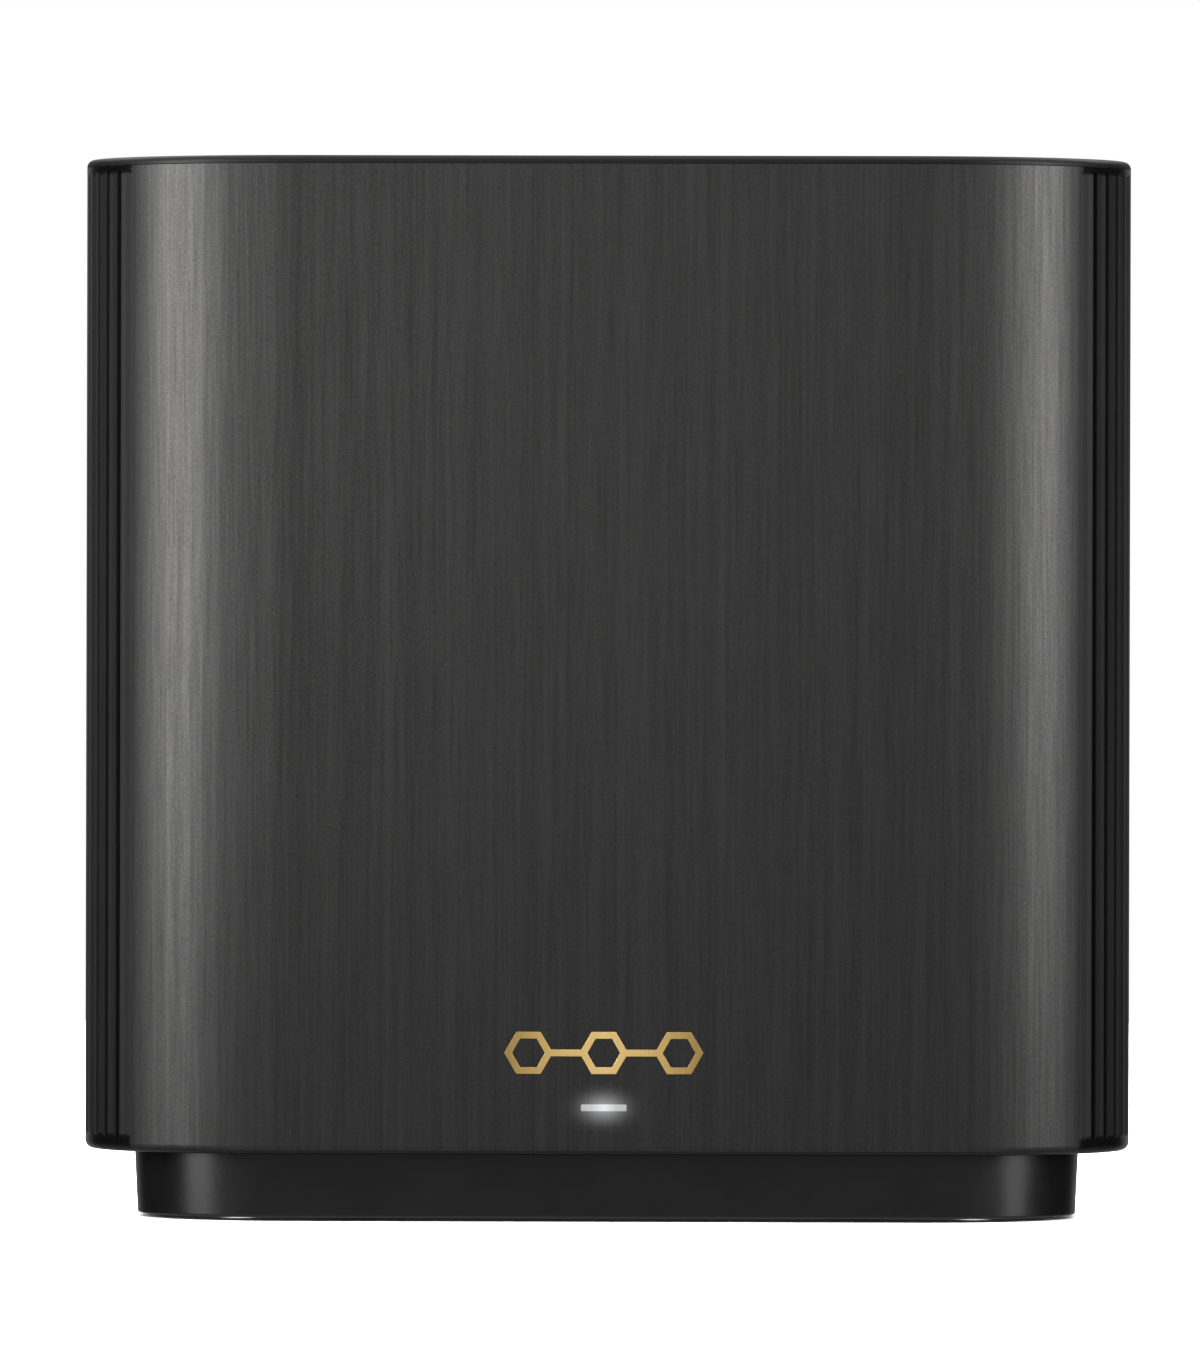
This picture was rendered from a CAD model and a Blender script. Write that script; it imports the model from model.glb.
"""Looks of the mesh wifi node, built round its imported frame.

Units are metres and +Z is up. The smooth front panel faces -Y, the ports face +Y.
"""
import math

import bmesh
import bpy
import numpy as np
from mathutils import Matrix, Vector


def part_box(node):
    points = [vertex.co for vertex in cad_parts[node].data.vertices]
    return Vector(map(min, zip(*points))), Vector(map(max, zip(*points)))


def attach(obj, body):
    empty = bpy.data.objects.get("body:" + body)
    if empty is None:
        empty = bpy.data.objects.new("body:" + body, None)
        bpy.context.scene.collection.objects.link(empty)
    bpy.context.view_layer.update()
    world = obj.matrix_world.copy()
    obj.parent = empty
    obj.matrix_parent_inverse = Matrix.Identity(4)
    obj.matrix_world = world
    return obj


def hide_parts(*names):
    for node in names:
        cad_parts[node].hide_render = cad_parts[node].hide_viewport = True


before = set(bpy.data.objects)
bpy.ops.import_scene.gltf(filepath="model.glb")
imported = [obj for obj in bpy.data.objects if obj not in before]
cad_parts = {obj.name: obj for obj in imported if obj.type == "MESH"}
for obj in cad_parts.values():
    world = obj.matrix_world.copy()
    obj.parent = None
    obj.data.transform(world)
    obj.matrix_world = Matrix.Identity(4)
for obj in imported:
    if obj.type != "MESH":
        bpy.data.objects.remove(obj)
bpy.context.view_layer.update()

MM = 0.001
HOUSING = "housing"

# Places and sizes that the frame gives
COVER_LOW, COVER_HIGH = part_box("top_cover")
SHELL_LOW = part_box("rear_shell")[0]
TRAY_LOW, TRAY_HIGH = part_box("lower_tray")
PLINTH_LOW, PLINTH_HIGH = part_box("base_plinth")
PLATE_LOW, PLATE_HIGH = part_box("bottom_plate")
EMBLEM_LOW, EMBLEM_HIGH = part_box("front_emblem")
LIGHT_LOW, LIGHT_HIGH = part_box("light_pipe")
PORTS_LOW, PORTS_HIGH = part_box("io_panel")
WIDTH = COVER_HIGH.x - COVER_LOW.x
DEPTH = COVER_HIGH.y - COVER_LOW.y
TOP = COVER_HIGH.z
FRONT_Y = COVER_LOW.y
GAP = 0.3 * MM                      # between neighbouring outer pieces
FINE_GAP = 0.03 * MM                # between the mouldings that meet on the outside
RIM_LOW = PLINTH_HIGH.z + GAP       # underside of the body's rim

# Shape of the body, as the design has it
CORNER_RADIUS = 33 * MM
SEAM_ANGLE = math.radians(40.1)     # of the front corner, from its side end
PANEL_THICKNESS = 2 * MM
SHELL_THICKNESS = 2.6 * MM
FILLET = 1.35 * MM                  # round bottom edge of the body
EDGE = 0.15 * MM                    # softened edge of a moulding
FINE_EDGE = 0.05 * MM               # where two mouldings meet flush
COVER_EDGE = 1.1 * MM
COVER_THICKNESS = 1.2 * MM
SKIRT_INSET = 3 * MM
SKIRT_THICKNESS = 1.4 * MM
RIM_HEIGHT = 0.6 * MM

# Ribs and vents
RIB_COUNT = 72
GROOVE_WIDTH = 1.3 * MM
GROOVE_SPREAD = 0.70 * MM           # half width of a groove with its rounded lips
GROOVE_FLOOR = 0.40 * MM            # half width of a groove's floor
RIB_HOLLOW = 0.11 * MM              # each rib is faintly dished between its lips
GROOVE_DEPTH = 1.5 * MM
SEAM_MARGIN = 0.5 * MM              # the ribs' even spacing stops this far short of the seam
GROOVE_LOW = 12.5 * MM
GROOVE_HIGH = 159.4 * MM
GROOVE_END = 0.8 * MM               # length over which a groove runs out
VENT_WIDTH = 1.0 * MM
VENT_LOW = 120 * MM
VENT_HIGH = 150 * MM
VENT_REACH = 46 * MM

# Port bay
BAY_WALL = 2 * MM
BAY_WIDTH = PORTS_HIGH.x - PORTS_LOW.x - 2 * BAY_WALL
BAY_LOW = PORTS_LOW.z + BAY_WALL
BAY_HIGH = PORTS_HIGH.z - BAY_WALL
BAY_CORNER = 2 * MM
PORT_PLATE = 2 * MM
PORT_FACE = PORTS_LOW.y + PORT_PLATE
FIRST_GROOVE_LOW = BAY_HIGH + 4 * MM

# Base
BASE_RADIUS = 24.5 * MM
BASE_DRAFT = 0.45 * MM
BASE_WALL = 2 * MM
BASE_EDGE = 0.4 * MM
LEDGE_WIDTH = 3 * MM
LEDGE_THICKNESS = 1.5 * MM
PILOT_RADIUS = 1.55 * MM

# Emblem and indicator
STROKE = 1.05 * MM
HEXAGON_HEIGHT = EMBLEM_HIGH.z - EMBLEM_LOW.z
HEXAGON_PITCH = (EMBLEM_HIGH.x - EMBLEM_LOW.x) / 2 - HEXAGON_HEIGHT / math.sqrt(3)
EMBLEM_THICKNESS = EMBLEM_HIGH.y - EMBLEM_LOW.y
EMBLEM_Z = (EMBLEM_LOW.z + EMBLEM_HIGH.z) / 2
FLANGE = 1 * MM                     # of the light pipe, on every side
PIPE_WIDTH = LIGHT_HIGH.x - LIGHT_LOW.x - 2 * FLANGE
PIPE_HEIGHT = LIGHT_HIGH.z - LIGHT_LOW.z - 2 * FLANGE
LIGHT_Z = (LIGHT_LOW.z + LIGHT_HIGH.z) / 2
BAR_CORNER = 0.12 * MM
INLAY_CLEARANCE = 0.06 * MM         # round the bar and the emblem
EMBLEM_PROUD = 0.03 * MM


# ---- outlines
class Outline:
    """A rounded oblong, measured along its line from the rear's middle; positive goes by +X."""

    def __init__(self, width, depth, radius):
        self.radius = radius
        self.half_flat = width / 2 - radius
        self.side_flat = depth - 2 * radius
        self.quarter = radius * math.pi / 2
        self.half = 2 * self.half_flat + 2 * self.quarter + self.side_flat

    def turn(self, distances):
        """How far the line has turned from facing the rear."""
        along = np.abs(distances)
        first = np.clip(along - self.half_flat, 0, self.quarter)
        second = np.clip(along - self.half_flat - self.quarter - self.side_flat, 0, self.quarter)
        return (first + second) / self.radius

    def points(self, distances, inset=0.0):
        """x and y of the points at an inset inside the line."""
        along = np.abs(distances)
        side_run = np.clip(along - self.half_flat - self.quarter, 0, self.side_flat)
        front_run = np.clip(along - self.half + self.half_flat, 0, self.half_flat)
        turn = self.turn(distances)
        reach = self.radius - inset
        x = np.minimum(along, self.half_flat) - front_run + reach * np.sin(turn)
        y = self.side_flat / 2 - side_run + reach * np.cos(turn)
        return np.copysign(x, distances), y

    def stops(self, start, end, steps=40):
        """Distances from start to end, close together round the corners."""
        first = self.half_flat + self.quarter * np.arange(steps + 1) / steps
        both = np.concatenate([first, first + self.quarter + self.side_flat])
        inside = both[(both > start + EDGE) & (both < end - EDGE)]
        return np.concatenate([[start], inside, [end]])

    def ring(self, steps=40):
        """Distances once round, without a repeat where they meet."""
        half = self.stops(0, self.half, steps)
        return np.concatenate([-half[:0:-1], half[:-1]])


BODY = Outline(WIDTH, DEPTH, CORNER_RADIUS)
BASE = Outline(PLINTH_HIGH.x - PLINTH_LOW.x, PLINTH_HIGH.y - PLINTH_LOW.y, BASE_RADIUS)
SEAM = BODY.half_flat + BODY.quarter + BODY.side_flat + CORNER_RADIUS * SEAM_ANGLE
RIB_PITCH = (2 * (SEAM - SEAM_MARGIN) + GROOVE_WIDTH) / RIB_COUNT


def rounding(distance, radius):
    """How far a rounded edge draws a face in, at a distance from that edge."""
    left = radius - np.clip(distance, 0, radius)
    return radius - np.sqrt(radius ** 2 - left ** 2)


def arc(centre, radius, start, end, steps):
    """Points of an arc in a profile, angles in degrees."""
    angles = np.radians(np.linspace(start, end, steps + 1))
    return [(centre[0] + radius * math.cos(a), centre[1] + radius * math.sin(a)) for a in angles]


def rounded_loop(width, height, radius, centre=(0, 0), steps=6):
    """A rounded rectangle about its centre, anticlockwise."""
    loop = []
    for quarter, (side_x, side_y) in enumerate(((1, 1), (-1, 1), (-1, -1), (1, -1))):
        middle = (centre[0] + side_x * (width / 2 - radius), centre[1] + side_y * (height / 2 - radius))
        loop += arc(middle, radius, 90 * quarter, 90 * quarter + 90, steps)
    return loop


def circle_loop(radius, centre, steps=24):
    """A circle about its centre."""
    return arc(centre, radius, 0, 360 - 360 / steps, steps - 1)


# ---- mesh helpers
def placed(name, data):
    """A new object in the scene."""
    item = bpy.data.objects.new(name, data)
    bpy.context.scene.collection.objects.link(item)
    return item


def mesh_from(bm, name):
    """A new mesh with a bmesh's contents."""
    mesh = bpy.data.meshes.new(name)
    bm.to_mesh(mesh)
    bm.free()
    return mesh


def new_piece(name, vertices, faces):
    """A mesh object at the origin, with its faces turned outwards."""
    mesh = bpy.data.meshes.new(name)
    mesh.from_pydata([tuple(vertex) for vertex in vertices], [], faces)
    bm = bmesh.new()
    bm.from_mesh(mesh)
    bmesh.ops.recalc_face_normals(bm, faces=bm.faces)
    bm.to_mesh(mesh)
    bm.free()
    return placed(name, mesh)


def strip(first, second, closed):
    """Quads between two equal rows of vertex numbers."""
    pairs = list(zip(first, first[1:], second[1:], second))
    if closed:
        pairs.append((first[-1], first[0], second[0], second[-1]))
    return pairs


def swept(name, outline, profile, ring_shaped=False):
    """A solid whose section is the profile of (inset, height) points, carried round the outline."""
    distances = outline.ring()
    count = len(distances)
    vertices = []
    for inset, height in profile:
        x, y = outline.points(distances, inset)
        vertices += list(zip(x, y, [height] * count))
    rows = [list(range(row * count, (row + 1) * count)) for row in range(len(profile))]
    faces = []
    for upper, lower in zip(rows, rows[1:]):
        faces += strip(upper, lower, closed=True)
    if ring_shaped:
        faces += strip(rows[-1], rows[0], closed=True)
    else:
        faces += [tuple(rows[0]), tuple(rows[-1])]
    return new_piece(name, vertices, faces)


def wall(name, distances, levels, thickness, inset_at):
    """A wall along the body outline, whose outer face lies inset_at(distances, height) inside it."""
    count = len(distances)
    vertices = []
    for level in levels:
        x, y = BODY.points(distances, inset_at(distances, level))
        vertices += list(zip(x, y, [level] * count))
    for level in (levels[-1], levels[0]):
        x, y = BODY.points(distances, thickness)
        vertices += list(zip(x, y, [level] * count))
    rows = [list(range(row * count, (row + 1) * count)) for row in range(len(levels) + 2)]
    faces = strip(rows[-1], rows[0], closed=False)
    for lower, upper in zip(rows, rows[1:]):
        faces += strip(lower, upper, closed=False)
    faces += [tuple(row[0] for row in rows), tuple(row[-1] for row in rows)]
    return new_piece(name, vertices, faces)


def to_mesh(item):
    """Turn an object, with its modifiers, into a plain welded mesh object."""
    bpy.context.view_layer.update()
    graph = bpy.context.evaluated_depsgraph_get()
    mesh = bpy.data.meshes.new_from_object(item.evaluated_get(graph))
    mesh.transform(item.matrix_world)
    bm = bmesh.new()
    bm.from_mesh(mesh)
    bmesh.ops.remove_doubles(bm, verts=bm.verts, dist=1e-7)
    bm.to_mesh(mesh)
    bm.free()
    plain = placed(item.name + "_mesh", mesh)
    name = item.name
    bpy.data.objects.remove(item, do_unlink=True)
    plain.name = name
    return plain


def carve(item, tool, operation="DIFFERENCE"):
    """Boolean the tool into the item, and take the tool away."""
    step = item.modifiers.new("carve", "BOOLEAN")
    step.operation = operation
    step.solver = "EXACT"
    step.object = tool
    item = to_mesh(item)
    bpy.data.objects.remove(tool, do_unlink=True)
    return item


def curve_along(name, dimensions, paths, closed):
    """Straight-sided curve data along lists of points."""
    curve = bpy.data.curves.new(name, "CURVE")
    curve.dimensions = dimensions
    for path in paths:
        spline = curve.splines.new("POLY")
        spline.points.add(len(path) - 1)
        for point, place in zip(spline.points, path):
            point.co = (*place, 1)
        spline.use_cyclic_u = closed
    return curve


def slab(name, loops, thickness, edge=0.0, facing="Z", middle=(0, 0, 0)):
    """A flat plate with the given outlines and softened edges, centred on middle.

    Facing Y, the loops' second coordinate runs up +Z and the first along +X.
    """
    curve = curve_along(name, "2D", [[(x, y, 0) for x, y in loop] for loop in loops], closed=True)
    curve.fill_mode = "BOTH"
    curve.extrude = thickness / 2 - edge
    curve.bevel_depth = edge
    curve.bevel_resolution = 1
    curve.offset = -edge
    item = placed(name, curve)
    item.location = middle
    if facing == "Y":
        item.rotation_euler = (math.pi / 2, 0, 0)
    return to_mesh(item)


def slab_between(name, loops, low_y, high_y, edge=0.0):
    """A slab facing Y between two planes."""
    return slab(name, loops, high_y - low_y, edge, facing="Y", middle=(0, (low_y + high_y) / 2, 0))


def add_box(bm, low, high):
    """One more box in a bmesh."""
    low, high = Vector(low), Vector(high)
    size = Matrix.Diagonal((*(high - low), 1.0))
    bmesh.ops.create_cube(bm, size=1.0, matrix=Matrix.Translation((low + high) / 2) @ size)


def boxes(name, corners):
    """Several boxes in one mesh object."""
    bm = bmesh.new()
    for low, high in corners:
        add_box(bm, low, high)
    return placed(name, mesh_from(bm, name))


def turned(name, profile, middle, facing=(0, 0, 1), steps=48):
    """A turned solid from (radius, height) points, top to bottom, heights along facing."""
    vertices = []
    for radius, height in profile:
        angles = 2 * math.pi * np.arange(steps) / steps
        vertices += [(radius * math.cos(a), radius * math.sin(a), height) for a in angles]
    rows = [list(range(row * steps, (row + 1) * steps)) for row in range(len(profile))]
    faces = [tuple(rows[0]), tuple(rows[-1])]
    for upper, lower in zip(rows, rows[1:]):
        faces += strip(upper, lower, closed=True)
    item = new_piece(name, vertices, faces)
    turn = Vector((0, 0, 1)).rotation_difference(Vector(facing)).to_matrix().to_4x4()
    item.data.transform(Matrix.Translation(Vector(middle)) @ turn)
    return item


def wires(name, paths, radius):
    """Round wires along lists of points, in one mesh object."""
    curve = curve_along(name, "3D", paths, closed=False)
    curve.bevel_depth = radius
    curve.bevel_resolution = 2
    curve.use_fill_caps = True
    return to_mesh(placed(name, curve))


def softened(item, width, segments):
    """The item with its sharp edges rounded."""
    bevel = item.modifiers.new("soft_edges", "BEVEL")
    bevel.width = width
    bevel.segments = segments
    bevel.limit_method = "ANGLE"
    bevel.angle_limit = math.radians(40)
    return to_mesh(item)


def shade(item, angle=35):
    """Smooth shading with the sharp edges kept."""
    item.data.shade_smooth()
    item.data.set_sharp_from_angle(angle=math.radians(angle))


def numbered(name, count):
    """Names of a set of like nodes."""
    return tuple(f"{name}_{number}" for number in range(1, count + 1))


def dress(item, look, node, stands_for=True, body=HOUSING, angle=35):
    """Give a piece its look, and tie it to the frame's node and body."""
    shade(item, angle)
    item.data.materials.clear()
    item.data.materials.append(LOOKS[look])
    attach(item, body)
    if stands_for:
        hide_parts(node)
    return item


# ---- materials
def add_node(tree, kind, output, inputs, **settings):
    """A new node with its inputs set or linked, by name or number; gives the output asked for."""
    made = tree.nodes.new(kind)
    for name, value in settings.items():
        setattr(made, name, value)
    for socket, value in inputs.items():
        if isinstance(value, bpy.types.NodeSocket):
            tree.links.new(value, made.inputs[socket])
        else:
            made.inputs[socket].default_value = value
    return made.outputs[output]


def range_inputs(value, start, end, low, high):
    """Inputs of a Map Range node that brings start..end to low..high."""
    return {"Value": value, "From Min": start, "From Max": end, "To Min": low, "To Max": high}


class Look:
    """A procedural Principled material that works in object space."""

    def __init__(self, name, colour, roughness, metallic=0.0, specular=0.5):
        self.material = bpy.data.materials.new(name)
        self.material.use_nodes = True
        self.tree = self.material.node_tree
        self.shader = self.tree.nodes["Principled BSDF"]
        self.set("Base Color", (*colour, 1.0))
        self.set("Roughness", roughness)
        self.set("Metallic", metallic)
        self.set("Specular IOR Level", specular)
        self.place = add_node(self.tree, "ShaderNodeTexCoord", "Object", {})

    def set(self, socket, value):
        """A constant on one of the shader's sockets."""
        self.shader.inputs[socket].default_value = value

    def feed(self, output, socket):
        """A pattern into one of the shader's sockets."""
        self.tree.links.new(output, self.shader.inputs[socket])

    def stretched(self, scale):
        """Object space with each axis scaled."""
        return add_node(self.tree, "ShaderNodeMapping", "Vector", {"Scale": scale, "Vector": self.place})

    def noise(self, scale, detail=2.0, vector=None, roughness=0.5):
        """Smooth noise; scale is cells per metre."""
        return add_node(self.tree, "ShaderNodeTexNoise", "Fac",
                        {"Scale": scale, "Detail": detail, "Roughness": roughness,
                         "Vector": vector or self.place})

    def cells(self, scale, feature, vector):
        """Distance to the nearest of scattered points, or to the edge between two."""
        return add_node(self.tree, "ShaderNodeTexVoronoi", "Distance",
                        {"Scale": scale, "Vector": vector}, feature=feature)

    def maths(self, operation, *values):
        """A Math node on sockets or numbers."""
        return add_node(self.tree, "ShaderNodeMath", 0, dict(enumerate(values)), operation=operation)

    def span(self, value, low, high, start=0.3, end=0.7):
        """A pattern brought from start..end to low..high."""
        return add_node(self.tree, "ShaderNodeMapRange", "Result",
                        range_inputs(value, start, end, low, high))

    def ramp(self, value, stops):
        """Colours along a pattern's value: (place, colour) stops."""
        made = self.tree.nodes.new("ShaderNodeValToRGB")
        elements = made.color_ramp.elements
        while len(elements) < len(stops):
            elements.new(0.5)
        for element, (place, colour) in zip(elements, stops):
            element.position = place
            element.color = (*colour, 1.0)
        self.tree.links.new(value, made.inputs["Fac"])
        return made.outputs["Color"]

    def tint(self, pattern, *stops):
        """Base colour along a pattern's value: (place, colour) stops."""
        self.feed(self.ramp(pattern, stops), "Base Color")

    def dull(self, pattern, low, high, start=0.3, end=0.7):
        """Roughness from low to high along a pattern's value."""
        self.feed(self.span(pattern, low, high, start, end), "Roughness")

    def bell(self, *offsets):
        """Falls off from 1 where all offsets are 0; an offset of 1 is one standard deviation."""
        total = 0.0
        for offset in offsets:
            total = self.maths("ADD", total, self.maths("MULTIPLY", offset, offset))
        return self.maths("EXPONENT", self.maths("MULTIPLY", total, -0.5))

    def blend(self, factor, first, second):
        """One colour socket faded into another."""
        return add_node(self.tree, "ShaderNodeMix", 2, {0: factor, 6: first, 7: second}, data_type="RGBA")

    def bump(self, height, distance, strength):
        """Fine relief; distance is its depth in metres."""
        self.feed(add_node(self.tree, "ShaderNodeBump", "Normal",
                           {"Distance": distance, "Strength": strength, "Height": height}), "Normal")

    def axis(self, name):
        """One coordinate of object space."""
        return add_node(self.tree, "ShaderNodeSeparateXYZ", name, {0: self.place})


def grey(value):
    """A colour without hue."""
    return (value, value, value)


def tinted(colour, factor):
    """A colour made lighter or darker."""
    return tuple(channel * factor for channel in colour)


def moulded_look(name, colour, roughness, grain=2600, relief=0.010 * MM, specular=0.5):
    """Moulded plastic with a fine spark-eroded grain and slight unevenness."""
    look = Look(name, colour, roughness, specular=specular)
    grains = look.noise(grain, detail=3)
    clouds = look.noise(60)
    look.tint(clouds, (0.3, tinted(colour, 0.90)), (0.7, tinted(colour, 1.10)))
    look.dull(look.maths("ADD", grains, look.maths("MULTIPLY", clouds, 0.5)),
              roughness - 0.05, roughness + 0.07, 0.45, 1.05)
    look.bump(grains, relief, 0.6)
    return look.material


def gloss_look(name, colour, roughness, specular=0.5):
    """Smooth dark moulding with a faint ripple and handling haze."""
    look = Look(name, colour, roughness, specular=specular)
    ripple = look.noise(420)
    haze = look.noise(90, detail=4, roughness=0.6)
    look.tint(haze, (0.35, tinted(colour, 0.92)), (0.7, tinted(colour, 1.12)))
    look.dull(haze, roughness - 0.03, roughness + 0.06)
    look.bump(ripple, 0.006 * MM, 0.25)
    return look.material


PANEL_COLOUR = (0.0600, 0.0591, 0.0584)
HALO_WIDE = 2.0 * MM
HALO_TALL = 1.26 * MM
HALO_STRENGTH = 0.31
LAMP_REACH = 1.1 * MM


def panel_look():
    """Dark metallic film with short upright brush strokes, lit softly round the indicator."""
    look = Look("brushed_gunmetal", PANEL_COLOUR, 0.42, metallic=0.75, specular=0.4)
    strokes = look.noise(2600, detail=3, vector=look.stretched((1, 1, 0.025)))
    broad = look.noise(700, vector=look.stretched((1, 1, 0.006)))
    grain = look.noise(3500)
    lines = look.maths("ADD", look.maths("MULTIPLY", strokes, 0.35), look.maths("MULTIPLY", broad, 0.25))
    lines = look.maths("ADD", lines, look.maths("MULTIPLY", grain, 0.40))
    look.tint(lines, (0.38, tinted(PANEL_COLOUR, 0.72)), (0.50, PANEL_COLOUR),
              (0.62, tinted(PANEL_COLOUR, 1.30)))
    look.dull(lines, 0.48, 0.36)
    look.bump(lines, 0.005 * MM, 0.5)
    light = (LIGHT_LOW + LIGHT_HIGH) / 2
    across = look.maths("DIVIDE", look.maths("SUBTRACT", look.axis("X"), light.x), HALO_WIDE)
    up = look.maths("DIVIDE", look.maths("SUBTRACT", look.axis("Z"), light.z), HALO_TALL)
    look.set("Emission Color", (0.97, 0.98, 1.0, 1.0))
    look.feed(look.maths("MULTIPLY", look.bell(across, up), HALO_STRENGTH), "Emission Strength")
    return look.material


def light_look():
    """Frosted light pipe, brightest in the middle where the lamp sits behind it."""
    look = Look("indicator_glow", (0.12, 0.12, 0.125), 0.4)
    glow = look.bell(look.maths("DIVIDE", look.axis("X"), LAMP_REACH))
    frost = look.noise(1800)
    look.set("Emission Color", (0.97, 0.99, 1.0, 1.0))
    look.feed(look.maths("ADD", look.span(glow, 0.42, 0.73, 0.0, 1.0),
                         look.span(frost, -0.02, 0.02)), "Emission Strength")
    return look.material


def gold_look():
    """Gold foil, brighter towards the middle, with a fine upright grain."""
    look = Look("gold_foil", (0.62, 0.41, 0.125), 0.42, metallic=0.1)
    half = (EMBLEM_HIGH.x - EMBLEM_LOW.x) / 2
    edgeward = look.maths("ABSOLUTE", look.maths("DIVIDE", look.axis("X"), half))
    grain = look.noise(2400, detail=3, vector=look.stretched((1, 1, 0.05)))
    shine = look.maths("ADD", edgeward, look.span(grain, -0.05, 0.05))
    look.tint(shine, (0.0, (1.0, 0.71, 0.27)), (0.45, (0.86, 0.58, 0.20)),
              (0.75, (0.60, 0.40, 0.125)), (1.0, (0.42, 0.28, 0.085)))
    look.dull(grain, 0.36, 0.48)
    return look.material


def metal_look(name, colour, roughness, stretch=(1, 1, 1), grain=1500):
    """Bare metal with rolling or tool marks and a little tarnish."""
    look = Look(name, colour, roughness, metallic=1.0)
    marks = look.noise(grain, detail=3, vector=look.stretched(stretch))
    tarnish = look.noise(130, detail=3)
    look.tint(tarnish, (0.3, tinted(colour, 0.82)), (0.7, colour))
    look.dull(marks, roughness - 0.07, roughness + 0.10)
    look.bump(marks, 0.003 * MM, 0.4)
    return look.material


def rubber_look():
    """Soft black rubber with a dusty bloom."""
    look = Look("foot_rubber", grey(0.018), 0.85, specular=0.3)
    bloom = look.noise(240, detail=4, roughness=0.65)
    grain = look.noise(3200)
    look.tint(bloom, (0.35, grey(0.014)), (0.75, (0.036, 0.035, 0.034)))
    look.dull(bloom, 0.74, 0.95)
    look.bump(grain, 0.015 * MM, 0.7)
    return look.material


def board_look():
    """Green solder mask with tracks, clearances and tinned pads showing through."""
    look = Look("solder_mask", (0.012, 0.075, 0.035), 0.35)
    tracks = look.cells(320, "DISTANCE_TO_EDGE", look.stretched((1, 0.001, 1)))
    pads = look.cells(900, "F1", look.stretched((1, 0.001, 1)))
    line = look.span(tracks, 0.0, 1.0, 0.03, 0.07)
    dot = look.span(pads, 1.0, 0.0, 0.12, 0.18)
    mask = look.ramp(line, [(0.0, (0.006, 0.040, 0.020)), (1.0, (0.014, 0.090, 0.042))])
    metal = look.ramp(dot, [(0.0, (0.014, 0.090, 0.042)), (1.0, (0.60, 0.60, 0.56))])
    look.feed(look.blend(dot, mask, metal), "Base Color")
    look.feed(dot, "Metallic")
    look.dull(look.noise(700), 0.28, 0.42)
    look.bump(line, 0.03 * MM, 0.5)
    return look.material


RIB_COLOUR = grey(0.0102)
RIM_COLOUR = grey(0.0020)


def ribbed_look():
    """Satin ribs between smooth, darker rims at the wall's top and bottom."""
    look = Look("ribbed_moulding", RIB_COLOUR, 0.45, specular=0.45)
    height = look.axis("Z")
    above = look.span(height, 0.0, 1.0, GROOVE_HIGH - 0.5 * MM, GROOVE_HIGH - 0.1 * MM)
    below = look.span(height, 1.0, 0.0, GROOVE_LOW + 0.1 * MM, GROOVE_LOW + 0.5 * MM)
    rim = look.maths("MAXIMUM", above, below)
    grains = look.noise(2400, detail=3)
    clouds = look.noise(70)
    satin = look.ramp(clouds, [(0.3, tinted(RIB_COLOUR, 0.9)), (0.7, tinted(RIB_COLOUR, 1.1))])
    smooth = look.ramp(clouds, [(0.3, tinted(RIM_COLOUR, 0.9)), (0.7, tinted(RIM_COLOUR, 1.1))])
    look.feed(look.blend(rim, satin, smooth), "Base Color")
    look.feed(look.maths("SUBTRACT", look.span(grains, 0.41, 0.50), look.maths("MULTIPLY", rim, 0.20)),
              "Roughness")
    look.bump(grains, 0.008 * MM, 0.5)
    return look.material


def lead_look():
    """Extruded cable jacket."""
    look = Look("cable_jacket", (0.020, 0.020, 0.021), 0.5)
    drawn = look.noise(900, vector=look.stretched((1, 0.1, 1)))
    look.tint(drawn, (0.3, (0.016, 0.016, 0.017)), (0.7, (0.028, 0.028, 0.029)))
    look.dull(drawn, 0.42, 0.58)
    return look.material


def chip_look():
    """Black epoxy package, laser-dulled in its middle."""
    look = Look("chip_epoxy", (0.020, 0.020, 0.022), 0.45)
    speckle = look.noise(3800)
    look.tint(speckle, (0.4, (0.015, 0.015, 0.017)), (0.75, (0.045, 0.045, 0.047)))
    look.dull(speckle, 0.38, 0.60)
    look.bump(speckle, 0.01 * MM, 0.5)
    return look.material


LOOKS = {
    "panel": panel_look(),
    "ribs": ribbed_look(),
    "cover": gloss_look("cover_moulding", grey(0.0040), 0.46, specular=0.35),
    "gloss": gloss_look("black_moulding", grey(0.0050), 0.26, specular=0.8),
    "black": moulded_look("black_plastic", (0.016, 0.016, 0.017), 0.55),
    "grey": moulded_look("grey_plastic", (0.120, 0.120, 0.125), 0.50),
    "blue": moulded_look("blue_plastic", (0.025, 0.105, 0.380), 0.42),
    "rubber": rubber_look(),
    "gold": gold_look(),
    "light": light_look(),
    "steel": metal_look("plated_steel", (0.56, 0.56, 0.57), 0.30, (1, 0.05, 1)),
    "contact": metal_look("contact_gold", (0.75, 0.52, 0.20), 0.25, (1, 0.1, 1)),
    "brass": metal_look("antenna_brass", (0.62, 0.46, 0.20), 0.35, (1, 1, 0.1)),
    "aluminium": metal_look("extruded_aluminium", (0.62, 0.63, 0.64), 0.34, (1, 1, 0.02)),
    "board": board_look(),
    "chip": chip_look(),
    "pad": moulded_look("thermal_pad", (0.33, 0.38, 0.50), 0.80, grain=1500, relief=0.03 * MM),
    "lead": lead_look(),
    "lamp_green": moulded_look("green_window", (0.10, 0.30, 0.08), 0.25),
    "lamp_amber": moulded_look("amber_window", (0.50, 0.26, 0.05), 0.25),
}


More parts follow.
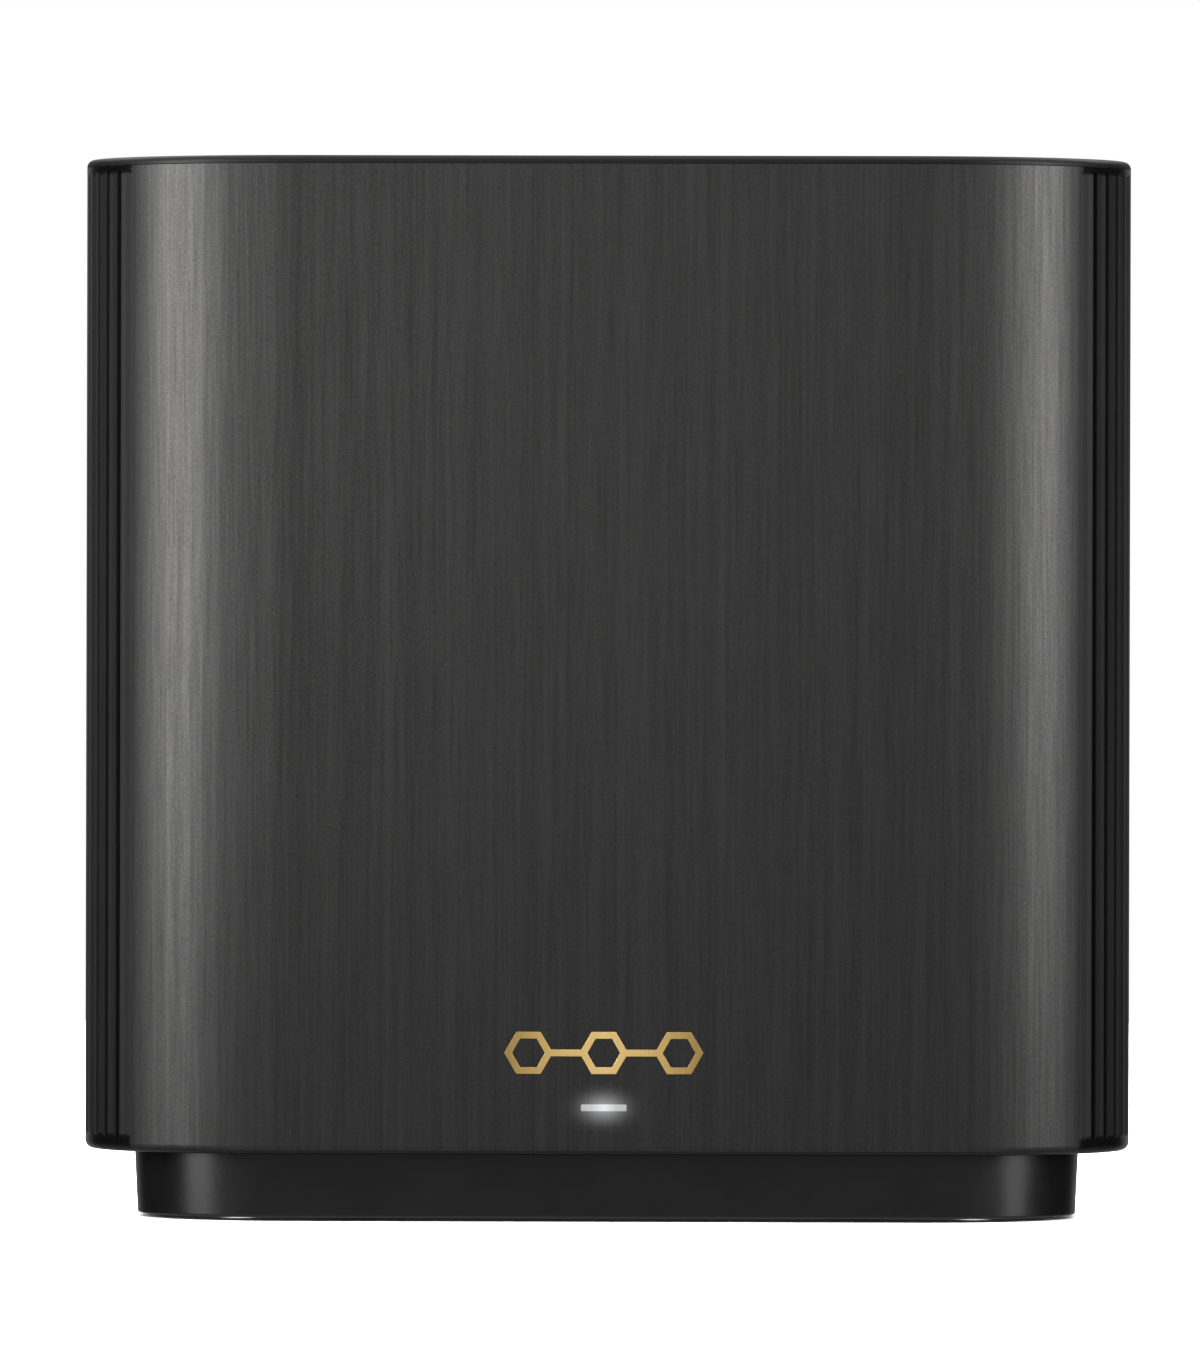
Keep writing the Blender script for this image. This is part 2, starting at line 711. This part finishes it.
# ---- outer pieces
def make_top_cover():
    """Lid with its rounded rim and the skirt that drops inside the walls."""
    low = TOP - COVER_THICKNESS
    inner = SKIRT_INSET + SKIRT_THICKNESS
    profile = arc((COVER_EDGE, TOP - COVER_EDGE), COVER_EDGE, 90, 180, 8)
    profile += [(0, low + FINE_EDGE), (FINE_EDGE, low), (SKIRT_INSET, low), (SKIRT_INSET, COVER_LOW.z),
                (inner, COVER_LOW.z), (inner, low)]
    dress(swept("top_cover_fine", BODY, [(abs(inset), z) for inset, z in profile]), "cover", "top_cover")


def body_inset(height):
    """How far the rounded bottom and the softened top draw the walls in, at a height."""
    return rounding(height - RIM_LOW, FILLET) + rounding(WALL_TOP - height, FINE_EDGE)


WALL_TOP = TOP - COVER_THICKNESS - FINE_GAP
SOFT_STEPS = EDGE * np.array([0, 0.1, 0.3, 0.6, 1.0])
FILLET_LEVELS = np.linspace(SHELL_LOW.z - GAP + FINE_GAP, RIM_LOW + FILLET, 6)
TOP_LEVELS = WALL_TOP - SOFT_STEPS[::-1] * FINE_EDGE / EDGE


def bar_loop(grow, corner):
    """Outline of the lit bar, with every side moved out by grow."""
    return rounded_loop(PIPE_WIDTH + 2 * grow, PIPE_HEIGHT + 2 * grow, corner, (0, LIGHT_Z))


def make_front_panel():
    """Smooth panel from seam to seam, cut for the indicator and the emblem."""
    start = SEAM + FINE_GAP / 2
    right = np.concatenate([start + SOFT_STEPS[:-1], BODY.stops(start + EDGE, BODY.half)])
    distances = np.concatenate([right, -right[-2::-1]])
    levels = np.concatenate([FILLET_LEVELS, TOP_LEVELS])
    panel = wall("front_panel_fine", distances, levels, PANEL_THICKNESS,
                 lambda spots, height: rounding(np.abs(spots) - start, EDGE) + body_inset(height))
    slot = bar_loop(INLAY_CLEARANCE, BAR_CORNER + INLAY_CLEARANCE)
    panel = carve(panel, slab_between("light_slot", [slot], FRONT_Y - 2 * PANEL_THICKNESS,
                                      FRONT_Y + 2 * PANEL_THICKNESS))
    depth = EMBLEM_THICKNESS + INLAY_CLEARANCE
    panel = carve(panel, emblem_solid("emblem_pocket", INLAY_CLEARANCE, 2 * depth, FRONT_Y))
    dress(panel, "panel", "front_panel")


def emblem_solid(name, grow, thickness, middle_y):
    """Three hexagon rings joined in a row, with every side moved out by grow."""
    solid = None
    for index in (-1, 0, 1):
        loops = [arc((index * HEXAGON_PITCH, EMBLEM_Z), height / math.sqrt(3), 0, 300, 5)
                 for height in (HEXAGON_HEIGHT + 2 * grow, HEXAGON_HEIGHT - 2 * STROKE - 2 * grow)]
        ring = slab(name, loops, thickness, facing="Y", middle=(0, middle_y, 0))
        solid = carve(solid, ring, "UNION") if solid else ring
    half = HEXAGON_PITCH / 2 - HEXAGON_HEIGHT / math.sqrt(3) + STROKE / 2
    for side in (-1, 1):
        middle = side * HEXAGON_PITCH / 2
        link = boxes("link", [((middle - half, middle_y - thickness / 2, EMBLEM_Z - STROKE / 2 - grow),
                               (middle + half, middle_y + thickness / 2, EMBLEM_Z + STROKE / 2 + grow))])
        solid = carve(solid, link, "UNION")
    return solid


def make_emblem():
    """The gold emblem, a hair proud of the panel."""
    middle_y = FRONT_Y - EMBLEM_PROUD + EMBLEM_THICKNESS / 2
    emblem = emblem_solid("front_emblem_fine", 0, EMBLEM_THICKNESS, middle_y)
    emblem = softened(emblem, 0.06 * MM, 1)
    dress(emblem, "gold", "front_emblem", angle=25)


def make_light_pipe():
    """The lit bar, flush with the panel, with its flange behind."""
    pipe = slab_between("light_pipe_fine", [bar_loop(0, BAR_CORNER)], FRONT_Y, LIGHT_HIGH.y, edge=FINE_EDGE)
    flange = slab_between("flange", [bar_loop(FLANGE, FLANGE / 2)],
                          FRONT_Y + PANEL_THICKNESS + GAP, LIGHT_HIGH.y)
    dress(carve(pipe, flange, "UNION"), "light", "light_pipe")


def groove_columns():
    """Distances along the ribbed wall: close together in each groove, and once on each rib."""
    flank = GROOVE_FLOOR + (GROOVE_SPREAD - GROOVE_FLOOR) * np.array([0, 0.2, 0.4, 0.6, 0.75, 0.88, 1.0])
    in_groove = np.concatenate([-flank[::-1], [0], flank])
    grooves = (np.arange(RIB_COUNT + 1) - RIB_COUNT / 2) * RIB_PITCH
    ribs = (grooves[1:, None] - RIB_PITCH * np.array([0.3, 0.4, 0.5, 0.6, 0.7])).ravel()
    end = SEAM - FINE_GAP / 2
    spots = np.concatenate([(grooves[:, None] + in_groove).ravel(), ribs])
    spots = spots[np.abs(spots) < end - EDGE]
    return np.sort(np.concatenate([spots, end - SOFT_STEPS, SOFT_STEPS - end]))


def groove_inset(spots, height):
    """How deep the wall's outer face lies in its grooves and dished ribs, at each distance and one height.

    The outermost groove would fall on the seam, so the wall runs on to the panel without it.
    """
    index = np.round(spots / RIB_PITCH)
    middle = np.abs(index) * RIB_PITCH
    beside_seam = np.abs(index) > RIB_COUNT / 2 - 0.5
    aside = np.abs(spots - index * RIB_PITCH)
    flank = np.clip((GROOVE_SPREAD - aside) / (GROOVE_SPREAD - GROOVE_FLOOR), 0, 1)
    section = flank ** 2 * (3 - 2 * flank)
    low = np.where(middle < BAY_WIDTH / 2 + BAY_WALL, FIRST_GROOVE_LOW, GROOVE_LOW)
    hollow = np.where(beside_seam, 1, np.minimum(2 * aside / RIB_PITCH, 1) ** 2)
    across = RIB_HOLLOW * hollow + np.where(beside_seam, 0, GROOVE_DEPTH * section)
    window = np.clip(np.minimum(height - low, GROOVE_HIGH - height) / GROOVE_END, 0, 1)
    return across * np.sqrt(1 - (1 - window) ** 2)


def make_rear_shell():
    """Ribbed wall round the sides and rear, with the port bay and the vents."""
    end = SEAM - FINE_GAP / 2
    run_out = GROOVE_END * np.array([0, 0.03, 0.12, 0.3, 0.6, 1.0])
    levels = np.concatenate([FILLET_LEVELS, GROOVE_LOW + run_out, FIRST_GROOVE_LOW + run_out,
                             GROOVE_HIGH - run_out[::-1], TOP_LEVELS])
    shell = wall("rear_shell_fine", groove_columns(), levels, SHELL_THICKNESS,
                 lambda spots, height: (groove_inset(spots, height) + rounding(end - np.abs(spots), FINE_EDGE)
                                        + body_inset(height)))
    bay = rounded_loop(BAY_WIDTH, BAY_HIGH - BAY_LOW, BAY_CORNER, (0, (BAY_LOW + BAY_HIGH) / 2))
    shell = carve(shell, slab("bay_opening", [bay], DEPTH - 2 * PORT_FACE, facing="Y",
                              middle=(0, DEPTH / 2, 0)))
    vent_count = int(VENT_REACH / RIB_PITCH)
    vents = [rounded_loop(VENT_WIDTH, VENT_HIGH - VENT_LOW, VENT_WIDTH * 0.49,
                          (index * RIB_PITCH, (VENT_LOW + VENT_HIGH) / 2), 3)
             for index in range(-vent_count, vent_count + 1)]
    shell = carve(shell, slab("vents", vents, 4 * SHELL_THICKNESS, facing="Y", middle=(0, DEPTH / 2, 0)))
    dress(shell, "ribs", "rear_shell", angle=30)


def spots_of(name):
    """Where each of the four pieces of that name stands."""
    corners = [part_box(node) for node in numbered(name, 4)]
    return [((low.x + high.x) / 2, (low.y + high.y) / 2) for low, high in corners]


def vent_loops():
    """Outlines of the nine slots in the floor."""
    pitch, half_width, half_length = 6 * MM, 1.3 * MM, 14 * MM
    return [rounded_loop(2 * half_width, 2 * half_length, half_width * 0.99, (index * pitch, 0))
            for index in range(-4, 5)]


def make_lower_tray():
    """Floor of the body, with its rounded rim, vents and screw bosses."""
    rises = np.array([1.0, 0.75, 0.5, 0.3, 0.15, 0.05, 0]) * RIM_HEIGHT
    rim_top = RIM_LOW + RIM_HEIGHT
    profile = [(SKIRT_INSET, TRAY_HIGH.z), (SKIRT_INSET, rim_top)]
    profile += [(float(rounding(rise, FILLET)), RIM_LOW + rise) for rise in rises]
    tray = swept("lower_tray_fine", BODY, profile)
    thickness = TRAY_HIGH.z - RIM_LOW
    tray = carve(tray, slab("vents", vent_loops(), 2 * thickness,
                            middle=(0, 0, RIM_LOW + thickness / 2)))
    for x, y in spots_of("base_screw"):
        boss = turned("boss", [(4 * MM, rim_top), (4 * MM, TRAY_LOW.z + EDGE), (4 * MM - EDGE, TRAY_LOW.z)],
                      (x, y, 0))
        pilot = turned("pilot", [(PILOT_RADIUS, RIM_LOW - GAP), (PILOT_RADIUS, TRAY_LOW.z - GAP)], (x, y, 0))
        tray = carve(carve(tray, boss, "UNION"), pilot)
    dress(tray, "ribs", "lower_tray")


def make_base_plinth():
    """Tapered ring under the body, with the ledge that the bottom plate sits against."""
    low, high = PLINTH_LOW.z, RIM_LOW - FINE_GAP
    inner = BASE_DRAFT + BASE_WALL
    ledge_low = PLATE_HIGH.z + GAP / 3
    profile = [(FINE_EDGE, high), (0, high - FINE_EDGE)]
    profile += arc((BASE_DRAFT + BASE_EDGE, low + BASE_EDGE), BASE_EDGE, 180, 270, 8)
    profile += [(inner, low), (inner, ledge_low), (inner + LEDGE_WIDTH, ledge_low),
                (inner + LEDGE_WIDTH, ledge_low + LEDGE_THICKNESS), (inner, ledge_low + LEDGE_THICKNESS),
                (inner, high)]
    dress(swept("base_plinth_fine", BASE, profile, ring_shaped=True), "gloss", "base_plinth")


def make_bottom_plate():
    """Plate that closes the base, with vents and recesses for the feet and the screws."""
    ring = BASE.ring(12)
    outer = list(zip(*BASE.points(ring, BASE_DRAFT + BASE_WALL + GAP)))
    shafts = [circle_loop(PILOT_RADIUS, spot) for spot in spots_of("base_screw")]
    thickness = PLATE_HIGH.z - PLATE_LOW.z
    plate = slab("bottom_plate_fine", [outer, *vent_loops(), *shafts], thickness, edge=EDGE,
                 middle=(0, 0, PLATE_LOW.z + thickness / 2))
    for name, radius, depth in (("rubber_foot", 5.3 * MM, 0.8 * MM), ("base_screw", 3.05 * MM, 1.1 * MM)):
        for x, y in spots_of(name):
            recess = turned("recess", [(radius, PLATE_LOW.z + depth), (radius, PLATE_LOW.z - GAP)], (x, y, 0))
            plate = carve(plate, recess)
    dress(plate, "black", "bottom_plate")


def make_feet():
    """Rubber pads with a rounded edge and a shallow ring moulded into their soles."""
    low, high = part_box("rubber_foot_1")
    radius = (high.x - low.x) / 2
    edge = 0.3 * MM
    groove = 0.12 * MM
    profile = [(radius, high.z)] + arc((radius - edge, low.z + edge), edge, 0, -90, 4)
    for inset in (1.3 * MM, 2.6 * MM):
        profile += [(radius - inset, low.z), (radius - inset - groove, low.z + groove),
                    (radius - inset - 2 * groove, low.z)]
    for node, (x, y) in zip(numbered("rubber_foot", 4), spots_of("rubber_foot")):
        dress(turned(node + "_fine", profile, (x, y, 0)), "rubber", node)


def make_base_screws():
    """Pan-head screws, head down, each with a cross recess and a pointed shaft."""
    head, radius, shaft = 0.95 * MM, 2.75 * MM, 1.25 * MM
    profile = [(radius - 0.7 * MM, head), (radius - 0.25 * MM, head - 0.12 * MM), (radius, head - 0.4 * MM),
               (radius, 0), (shaft, 0), (shaft, -6.8 * MM), (shaft / 2, -7.5 * MM)]
    long, short, depth = 1.5 * MM, 0.3 * MM, 0.6 * MM
    for node, (x, y) in zip(numbered("base_screw", 4), spots_of("base_screw")):
        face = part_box(node)[0].z
        screw = turned(node + "_fine", profile, (x, y, face + head), facing=(0, 0, -1))
        for half_x, half_y in ((long, short), (short, long)):
            slot = ((x - half_x, y - half_y, face - GAP), (x + half_x, y + half_y, face + depth))
            screw = carve(screw, boxes("slot", [slot]))
        dress(screw, "steel", node)


# ---- ports
def middle_of(node):
    """Centre of a node's box, seen from the rear: its x and z."""
    low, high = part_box(node)
    return (low.x + high.x) / 2, (low.z + high.z) / 2


def port_loop(node, grow, radius):
    """Rounded outline round a node, seen from the rear."""
    low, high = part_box(node)
    return rounded_loop(high.x - low.x + 2 * grow, high.z - low.z + 2 * grow, radius, middle_of(node))


TO_REAR = (0, 1, 0)
CAP_WIDTH = 6.5 * MM
CAP_HEIGHT = 10 * MM
CAP_CORNER = 1 * MM
PAIRING_RADIUS = 2.2 * MM
PINHOLE_RADIUS = 0.8 * MM


def make_io_panel():
    """Recessed port plate with rounded side walls and an opening for every connector."""
    low, high = PORTS_LOW, PORTS_HIGH
    centre = (0, (low.z + high.z) / 2)
    outer = rounded_loop(high.x - low.x, high.z - low.z, BAY_CORNER + BAY_WALL, centre)
    recess = rounded_loop(BAY_WIDTH, BAY_HIGH - BAY_LOW, BAY_CORNER, centre)
    panel = slab_between("io_panel_fine", [outer], low.y, high.y)
    panel = carve(panel, slab_between("recess", [recess], PORT_FACE, high.y + GAP))
    first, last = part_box("lan_jack_1"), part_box("lan_jack_3")
    row = rounded_loop(first[1].x - last[0].x + 2 * GAP, first[1].z - first[0].z + 2 * GAP, 0.6 * MM,
                       ((first[1].x + last[0].x) / 2, (first[0].z + first[1].z) / 2))
    cap_x, cap_z = middle_of("power_button")
    cap = rounded_loop(CAP_WIDTH + 2 * GAP, CAP_HEIGHT + 2 * GAP, CAP_CORNER + GAP, (cap_x, cap_z))
    pairing = circle_loop(PAIRING_RADIUS + GAP, middle_of("wps_button"))
    pinhole = circle_loop(PINHOLE_RADIUS, middle_of("reset_stem"))
    holes = [port_loop("wan_jack", GAP, 0.6 * MM), row, port_loop("usb_shell", GAP, 0.7 * MM), cap,
             port_loop("dc_jack", GAP, 0.9 * MM), pairing, pinhole]
    panel = carve(panel, slab_between("openings", holes, low.y - GAP, PORT_FACE + GAP))
    dress(softened(panel, 0.12 * MM, 2), "black", "io_panel")


JACKS = ("wan_jack", *numbered("lan_jack", 3))
JACK_DEPTH = 12.4 * MM
# Right half of the cavity's outline, in mm from its middle: a plug's width, then two latch steps
JACK_CAVITY = ((5.85, 4.5), (5.85, -2.4), (3.2, -2.4), (3.2, -4.0), (1.9, -4.0), (1.9, -5.4))
CONTACT_PITCH = 1.02 * MM
# Side view of a contact: mm in from the jack's face and up from its middle
CONTACT_PATH = ((1.6, 4.3), (2.4, 4.1), (9.0, 1.6), (12.3, 1.1))
LAMP_WIDTH = 2.2 * MM
LAMP_HEIGHT = 1.0 * MM
LAMP_ASIDE = 5.3 * MM
LAMP_ABOVE = 5.55 * MM


def make_network_jack(node, look):
    """Jack with its stepped plug cavity."""
    x, z = middle_of(node)
    low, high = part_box(node)
    right = [(x + across * MM, z + up * MM) for across, up in JACK_CAVITY]
    left = [(x - across * MM, z + up * MM) for across, up in reversed(JACK_CAVITY)]
    jack = slab_between(node + "_fine", [port_loop(node, 0, 0.4 * MM)], low.y, high.y)
    jack = carve(jack, slab_between("cavity", [right + left], high.y - JACK_DEPTH, high.y + GAP))
    dress(softened(jack, 0.14 * MM, 2), look, node)


def make_jack_details():
    """Eight sprung contacts in each jack, and the two light windows above its mouth."""
    contacts = []
    windows = {"lamp_green": [], "lamp_amber": []}
    for node in JACKS:
        x, z = middle_of(node)
        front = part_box(node)[1].y
        for index in range(8):
            across = x + (index - 3.5) * CONTACT_PITCH
            contacts.append([(across, front - inward * MM, z + up * MM) for inward, up in CONTACT_PATH])
        for name, side in (("lamp_green", -1), ("lamp_amber", 1)):
            middle = (x + side * LAMP_ASIDE, z + LAMP_ABOVE)
            windows[name].append(rounded_loop(LAMP_WIDTH, LAMP_HEIGHT, LAMP_HEIGHT / 5, middle, 3))
    wire = wires("jack_contacts", contacts, 0.18 * MM)
    dress(wire, "contact", "usb_shell", stands_for=False)
    for name, loops in windows.items():
        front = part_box("wan_jack")[1].y
        window = slab_between("jack_" + name, loops, front - GAP, front + 0.04 * MM, edge=0.03 * MM)
        dress(window, name, "wan_jack", stands_for=False)


def make_usb_port():
    """Folded metal shell with sprung windows, and the contacts on its tongue."""
    low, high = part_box("usb_shell")
    fold = 0.3 * MM
    outer, inner = port_loop("usb_shell", 0, 0.5 * MM), port_loop("usb_shell", -fold, 0.25 * MM)
    shell = slab_between("usb_shell_fine", [outer], low.y, high.y)
    shell = carve(shell, slab_between("mouth", [inner], low.y + fold, high.y + GAP))
    dress(softened(shell, 0.06 * MM, 1), "steel", "usb_shell")
    tongue_low, tongue_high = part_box("usb_tongue")
    x, z = middle_of("usb_shell")
    blade_x = x + 0.3 * MM - 0.92 * MM
    strips = []
    for up in (-3.5 * MM, -1.0 * MM, 1.0 * MM, 3.5 * MM):
        strips.append(((blade_x - 0.08 * MM, tongue_low.y + 3.2 * MM, z + up - 0.5 * MM),
                       (blade_x + 0.08 * MM, tongue_high.y - 0.9 * MM, z + up + 0.5 * MM)))
    dress(softened(boxes("usb_contacts", strips), 0.05 * MM, 2), "contact", "usb_shell", stands_for=False)


def make_dc_jack():
    """Round inlet with a chamfered bore and its metal centre pin."""
    low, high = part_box("dc_jack")
    x, z = middle_of("dc_jack")
    bore = 3 * MM
    chamfer = 0.4 * MM
    depth = 9.5 * MM
    jack = slab_between("dc_jack_fine", [port_loop("dc_jack", 0, 0.7 * MM)], low.y, high.y)
    jack = softened(jack, 0.15 * MM, 2)
    cutter = turned("bore", [(bore + chamfer + GAP, GAP), (bore, -chamfer), (bore, -depth)],
                    (x, high.y, z), TO_REAR)
    dress(carve(jack, cutter), "black", "dc_jack")
    pin = [(0.45 * MM, -1.0 * MM), (0.8 * MM, -1.2 * MM), (1.0 * MM, -1.7 * MM), (1.0 * MM, -depth - GAP)]
    dress(turned("dc_pin", pin, (x, high.y, z), TO_REAR), "steel", "usb_shell", stands_for=False)


def make_buttons():
    """Power button with a dished cap, and the round pairing button."""
    low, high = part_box("power_button")
    x, z = middle_of("power_button")
    cap_back = high.y - 3.7 * MM
    cap = slab_between("power_button_fine", [rounded_loop(CAP_WIDTH, CAP_HEIGHT, CAP_CORNER, (x, z))],
                       cap_back, high.y, edge=0.4 * MM)
    dish = turned("dish", [(2.2 * MM, GAP), (1.9 * MM, -0.15 * MM), (0.8 * MM, -0.3 * MM)],
                  (x, high.y, z), TO_REAR)
    cap = carve(cap, dish)
    flange = slab_between("flange", [port_loop("power_button", 0, CAP_CORNER)], cap_back - FLANGE,
                          cap_back + EDGE)
    stem = 1.5 * MM
    shaft = boxes("shaft", [((x - stem, low.y, z - stem), (x + stem, cap_back - FLANGE + EDGE, z + stem))])
    cap = carve(carve(cap, flange, "UNION"), shaft, "UNION")
    dress(cap, "grey", "power_button", body="power_button")
    low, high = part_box("wps_button")
    x, z = middle_of("wps_button")
    collar = (high.x - low.x) / 2
    edge = 0.3 * MM
    profile = [(0.5 * MM, -0.12 * MM), (1.2 * MM, -0.08 * MM), (1.6 * MM, 0)]
    profile += [(radius, height) for radius, height in
                reversed(arc((PAIRING_RADIUS - edge, -edge), edge, 0, 90, 4))]
    profile += [(PAIRING_RADIUS, low.y + FLANGE - high.y), (collar, low.y + FLANGE - high.y),
                (collar, low.y - high.y)]
    button = turned("wps_button_fine", profile, (x, high.y, z), TO_REAR)
    dress(button, "grey", "wps_button", body="wps_button")


# ---- internals
CARRIED_OVER = {
    "black": ("usb_tongue", "power_switch", "wps_switch", "reset_switch", "inner_frame"),
    "grey": ("reset_stem",),
    "board": ("main_board", "led_board"),
    "steel": numbered("board_screw", 4) + numbered("rf_shield", 2),
    "aluminium": ("heat_sink", "rear_heat_spreader"),
    "chip": ("processor", *numbered("radio_chip", 2), "memory_chip"),
    "pad": numbered("thermal_pad", 3),
    "brass": numbered("antenna", 6),
    "lead": numbered("antenna_lead", 6),
}


def dress_internals():
    """Procedural materials on the frame's own solids inside."""
    for look, nodes in CARRIED_OVER.items():
        for node in nodes:
            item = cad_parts[node]
            for slot in item.material_slots:
                slot.material = LOOKS[look]


# ---- studio
MIDDLE_HEIGHT = TOP / 2
STUDIO_FRONT = 0.225                # radiance of the dim surroundings, in front
STUDIO_SIDE = 0.02
STUDIO_BACKDROP = 0.35              # the white sheet behind
STUDIO_BELOW = 0.38
STUDIO_FADES = (                    # axis of the direction, start, end, radiance at each
    ("Y", 0.3, -0.9, STUDIO_SIDE, STUDIO_FRONT),
    ("Y", 0.84, 0.96, 0, STUDIO_BACKDROP),
    ("Z", -0.1, -0.9, 0, STUDIO_BELOW),
)
FLOOR_SHADERS = ("base_plinth", "bottom_plate", *numbered("rubber_foot", 4))


def softbox(name, azimuth, distance, height, size, radiance, target=None):
    """Area light round the object; azimuth 0 is in front and 90 is on the right.

    Size is its width and height. It faces level unless it has a target height.
    """
    light = bpy.data.lights.new(name, "AREA")
    light.shape = "RECTANGLE"
    light.size, light.size_y = size
    light.energy = radiance * math.pi * size[0] * size[1]
    item = placed(name, light)
    turn = math.radians(azimuth)
    item.location = (distance * math.sin(turn), -distance * math.cos(turn), height)
    aim = Vector((0, 0, height if target is None else target)) - item.location
    item.rotation_euler = aim.to_track_quat("-Z", "Y").to_euler()
    item.visible_camera = False
    return item


def make_lights(floor):
    """Boxes that shape the corners, cards that soften them, boxes above and behind, and the floor's."""
    softbox("side_box_left", -68.5, 0.55, 0.32, (0.20, 0.54), 8.7)
    softbox("side_box_right", 72, 0.65, 0.33, (0.20, 0.54), 8.0)
    softbox("low_box_left", -71, 0.50, -0.03, (0.17, 0.12), 1.5)
    softbox("low_box_right", 74, 0.50, -0.03, (0.14, 0.12), 1.5)
    softbox("card_left", -36, 0.36, 0.26, (0.36, 0.38), 0.95)
    softbox("card_right", 40, 0.40, 0.26, (0.36, 0.38), 0.35)
    softbox("front_fill", 0, 1.1, 0.42, (1.0, 0.7), 0.12)
    softbox("overhead_box", 0, 0.05, 1.0, (1.0, 0.8), 1.6, target=0)
    softbox("rear_box_left", -150, 0.9, 0.95, (0.7, 0.6), 3.0, target=MIDDLE_HEIGHT)
    softbox("rear_box_right", 145, 0.9, 0.95, (0.6, 0.6), 3.0, target=MIDDLE_HEIGHT)
    floor_box = softbox("floor_box", 180, 0.06, 1.5, (2.6, 2.6), 5.0, target=0)
    shaders = [bpy.data.objects[node + "_fine"] for node in FLOOR_SHADERS]
    for name, members in (("receiver_collection", [floor]), ("blocker_collection", shaders)):
        group = bpy.data.collections.new(name)
        for member in members:
            group.objects.link(member)
        setattr(floor_box.light_linking, name, group)


def make_world():
    """White to the camera; to the object a dim studio, dark at the sides, with a white sheet behind."""
    world = bpy.data.worlds.new("studio")
    world.use_nodes = True
    bpy.context.scene.world = world
    tree = world.node_tree
    tree.nodes.clear()
    direction = add_node(tree, "ShaderNodeTexCoord", "Generated", {})
    total = 0.0
    for axis, *limits in STUDIO_FADES:
        along = add_node(tree, "ShaderNodeSeparateXYZ", axis, {0: direction})
        fade = add_node(tree, "ShaderNodeMapRange", "Result", range_inputs(along, *limits),
                        interpolation_type="SMOOTHSTEP")
        total = add_node(tree, "ShaderNodeMath", 0, {0: total, 1: fade}, operation="ADD")
    studio = add_node(tree, "ShaderNodeBackground", 0, {"Strength": total})
    seen = add_node(tree, "ShaderNodeBackground", 0, {"Color": (1, 1, 1, 1)})
    to_camera = add_node(tree, "ShaderNodeLightPath", "Is Camera Ray", {})
    mix = add_node(tree, "ShaderNodeMixShader", 0, {0: to_camera, 1: studio, 2: seen})
    output = tree.nodes.new("ShaderNodeOutputWorld")
    tree.links.new(mix, output.inputs[0])


FLOOR_REACH = 1.2                   # metres each way
FLOOR_DROP = 0.05 * MM              # below the feet, so that the faces don't coincide


def make_floor():
    """Plain white floor, which the object doesn't pick up."""
    bm = bmesh.new()
    bmesh.ops.create_grid(bm, x_segments=8, y_segments=8, size=FLOOR_REACH)
    floor = placed("floor", mesh_from(bm, "floor"))
    floor.location.z = -FLOOR_DROP
    look = Look("floor_paper", grey(0.93), 0.9, specular=0.0)
    look.tint(look.noise(40), (0.3, grey(0.92)), (0.7, grey(0.94)))
    floor.data.materials.append(look.material)
    floor.visible_glossy = False
    floor.visible_diffuse = False
    floor.visible_shadow = False
    return floor


CAMERA_DISTANCE = 2.4465            # metres
CAMERA_HEIGHT = 89.7 * MM
CAMERA_ASIDE = 1.27 * MM            # how far left of the object's middle the lens points
CAMERA_TURN = 0.87                  # degrees round to the object's right
CAMERA_DIP = 0.2015                 # degrees below the horizon
CAMERA_ROLL = 0.13                  # degrees
LENS = 417.9                        # focal length in millimetres, on a sensor 36 wide


def make_camera():
    """Long lens at the middle of the object's height, almost square to its front."""
    lens = bpy.data.cameras.new("camera")
    lens.lens = LENS
    lens.sensor_width = 36
    lens.clip_start = 0.1
    lens.clip_end = 20
    camera = placed("camera", lens)
    turn = math.radians(CAMERA_TURN)
    camera.location = (CAMERA_DISTANCE * math.sin(turn) - CAMERA_ASIDE * math.cos(turn),
                       -CAMERA_DISTANCE * math.cos(turn) - CAMERA_ASIDE * math.sin(turn),
                       CAMERA_HEIGHT)
    aim = Matrix.Rotation(turn, 4, "Z") @ Matrix.Rotation(math.radians(90 - CAMERA_DIP), 4, "X")
    camera.rotation_euler = (aim @ Matrix.Rotation(math.radians(CAMERA_ROLL), 4, "Z")).to_euler()
    bpy.context.scene.camera = camera


def build():
    """Every piece, then the studio."""
    make_top_cover()
    make_front_panel()
    make_emblem()
    make_light_pipe()
    make_rear_shell()
    make_lower_tray()
    make_base_plinth()
    make_bottom_plate()
    make_feet()
    make_base_screws()
    make_io_panel()
    make_network_jack("wan_jack", "blue")
    for node in JACKS[1:]:
        make_network_jack(node, "black")
    make_jack_details()
    make_usb_port()
    make_dc_jack()
    make_buttons()
    dress_internals()
    make_world()
    make_lights(make_floor())
    make_camera()
    bpy.context.scene.view_settings.view_transform = "Standard"


build()
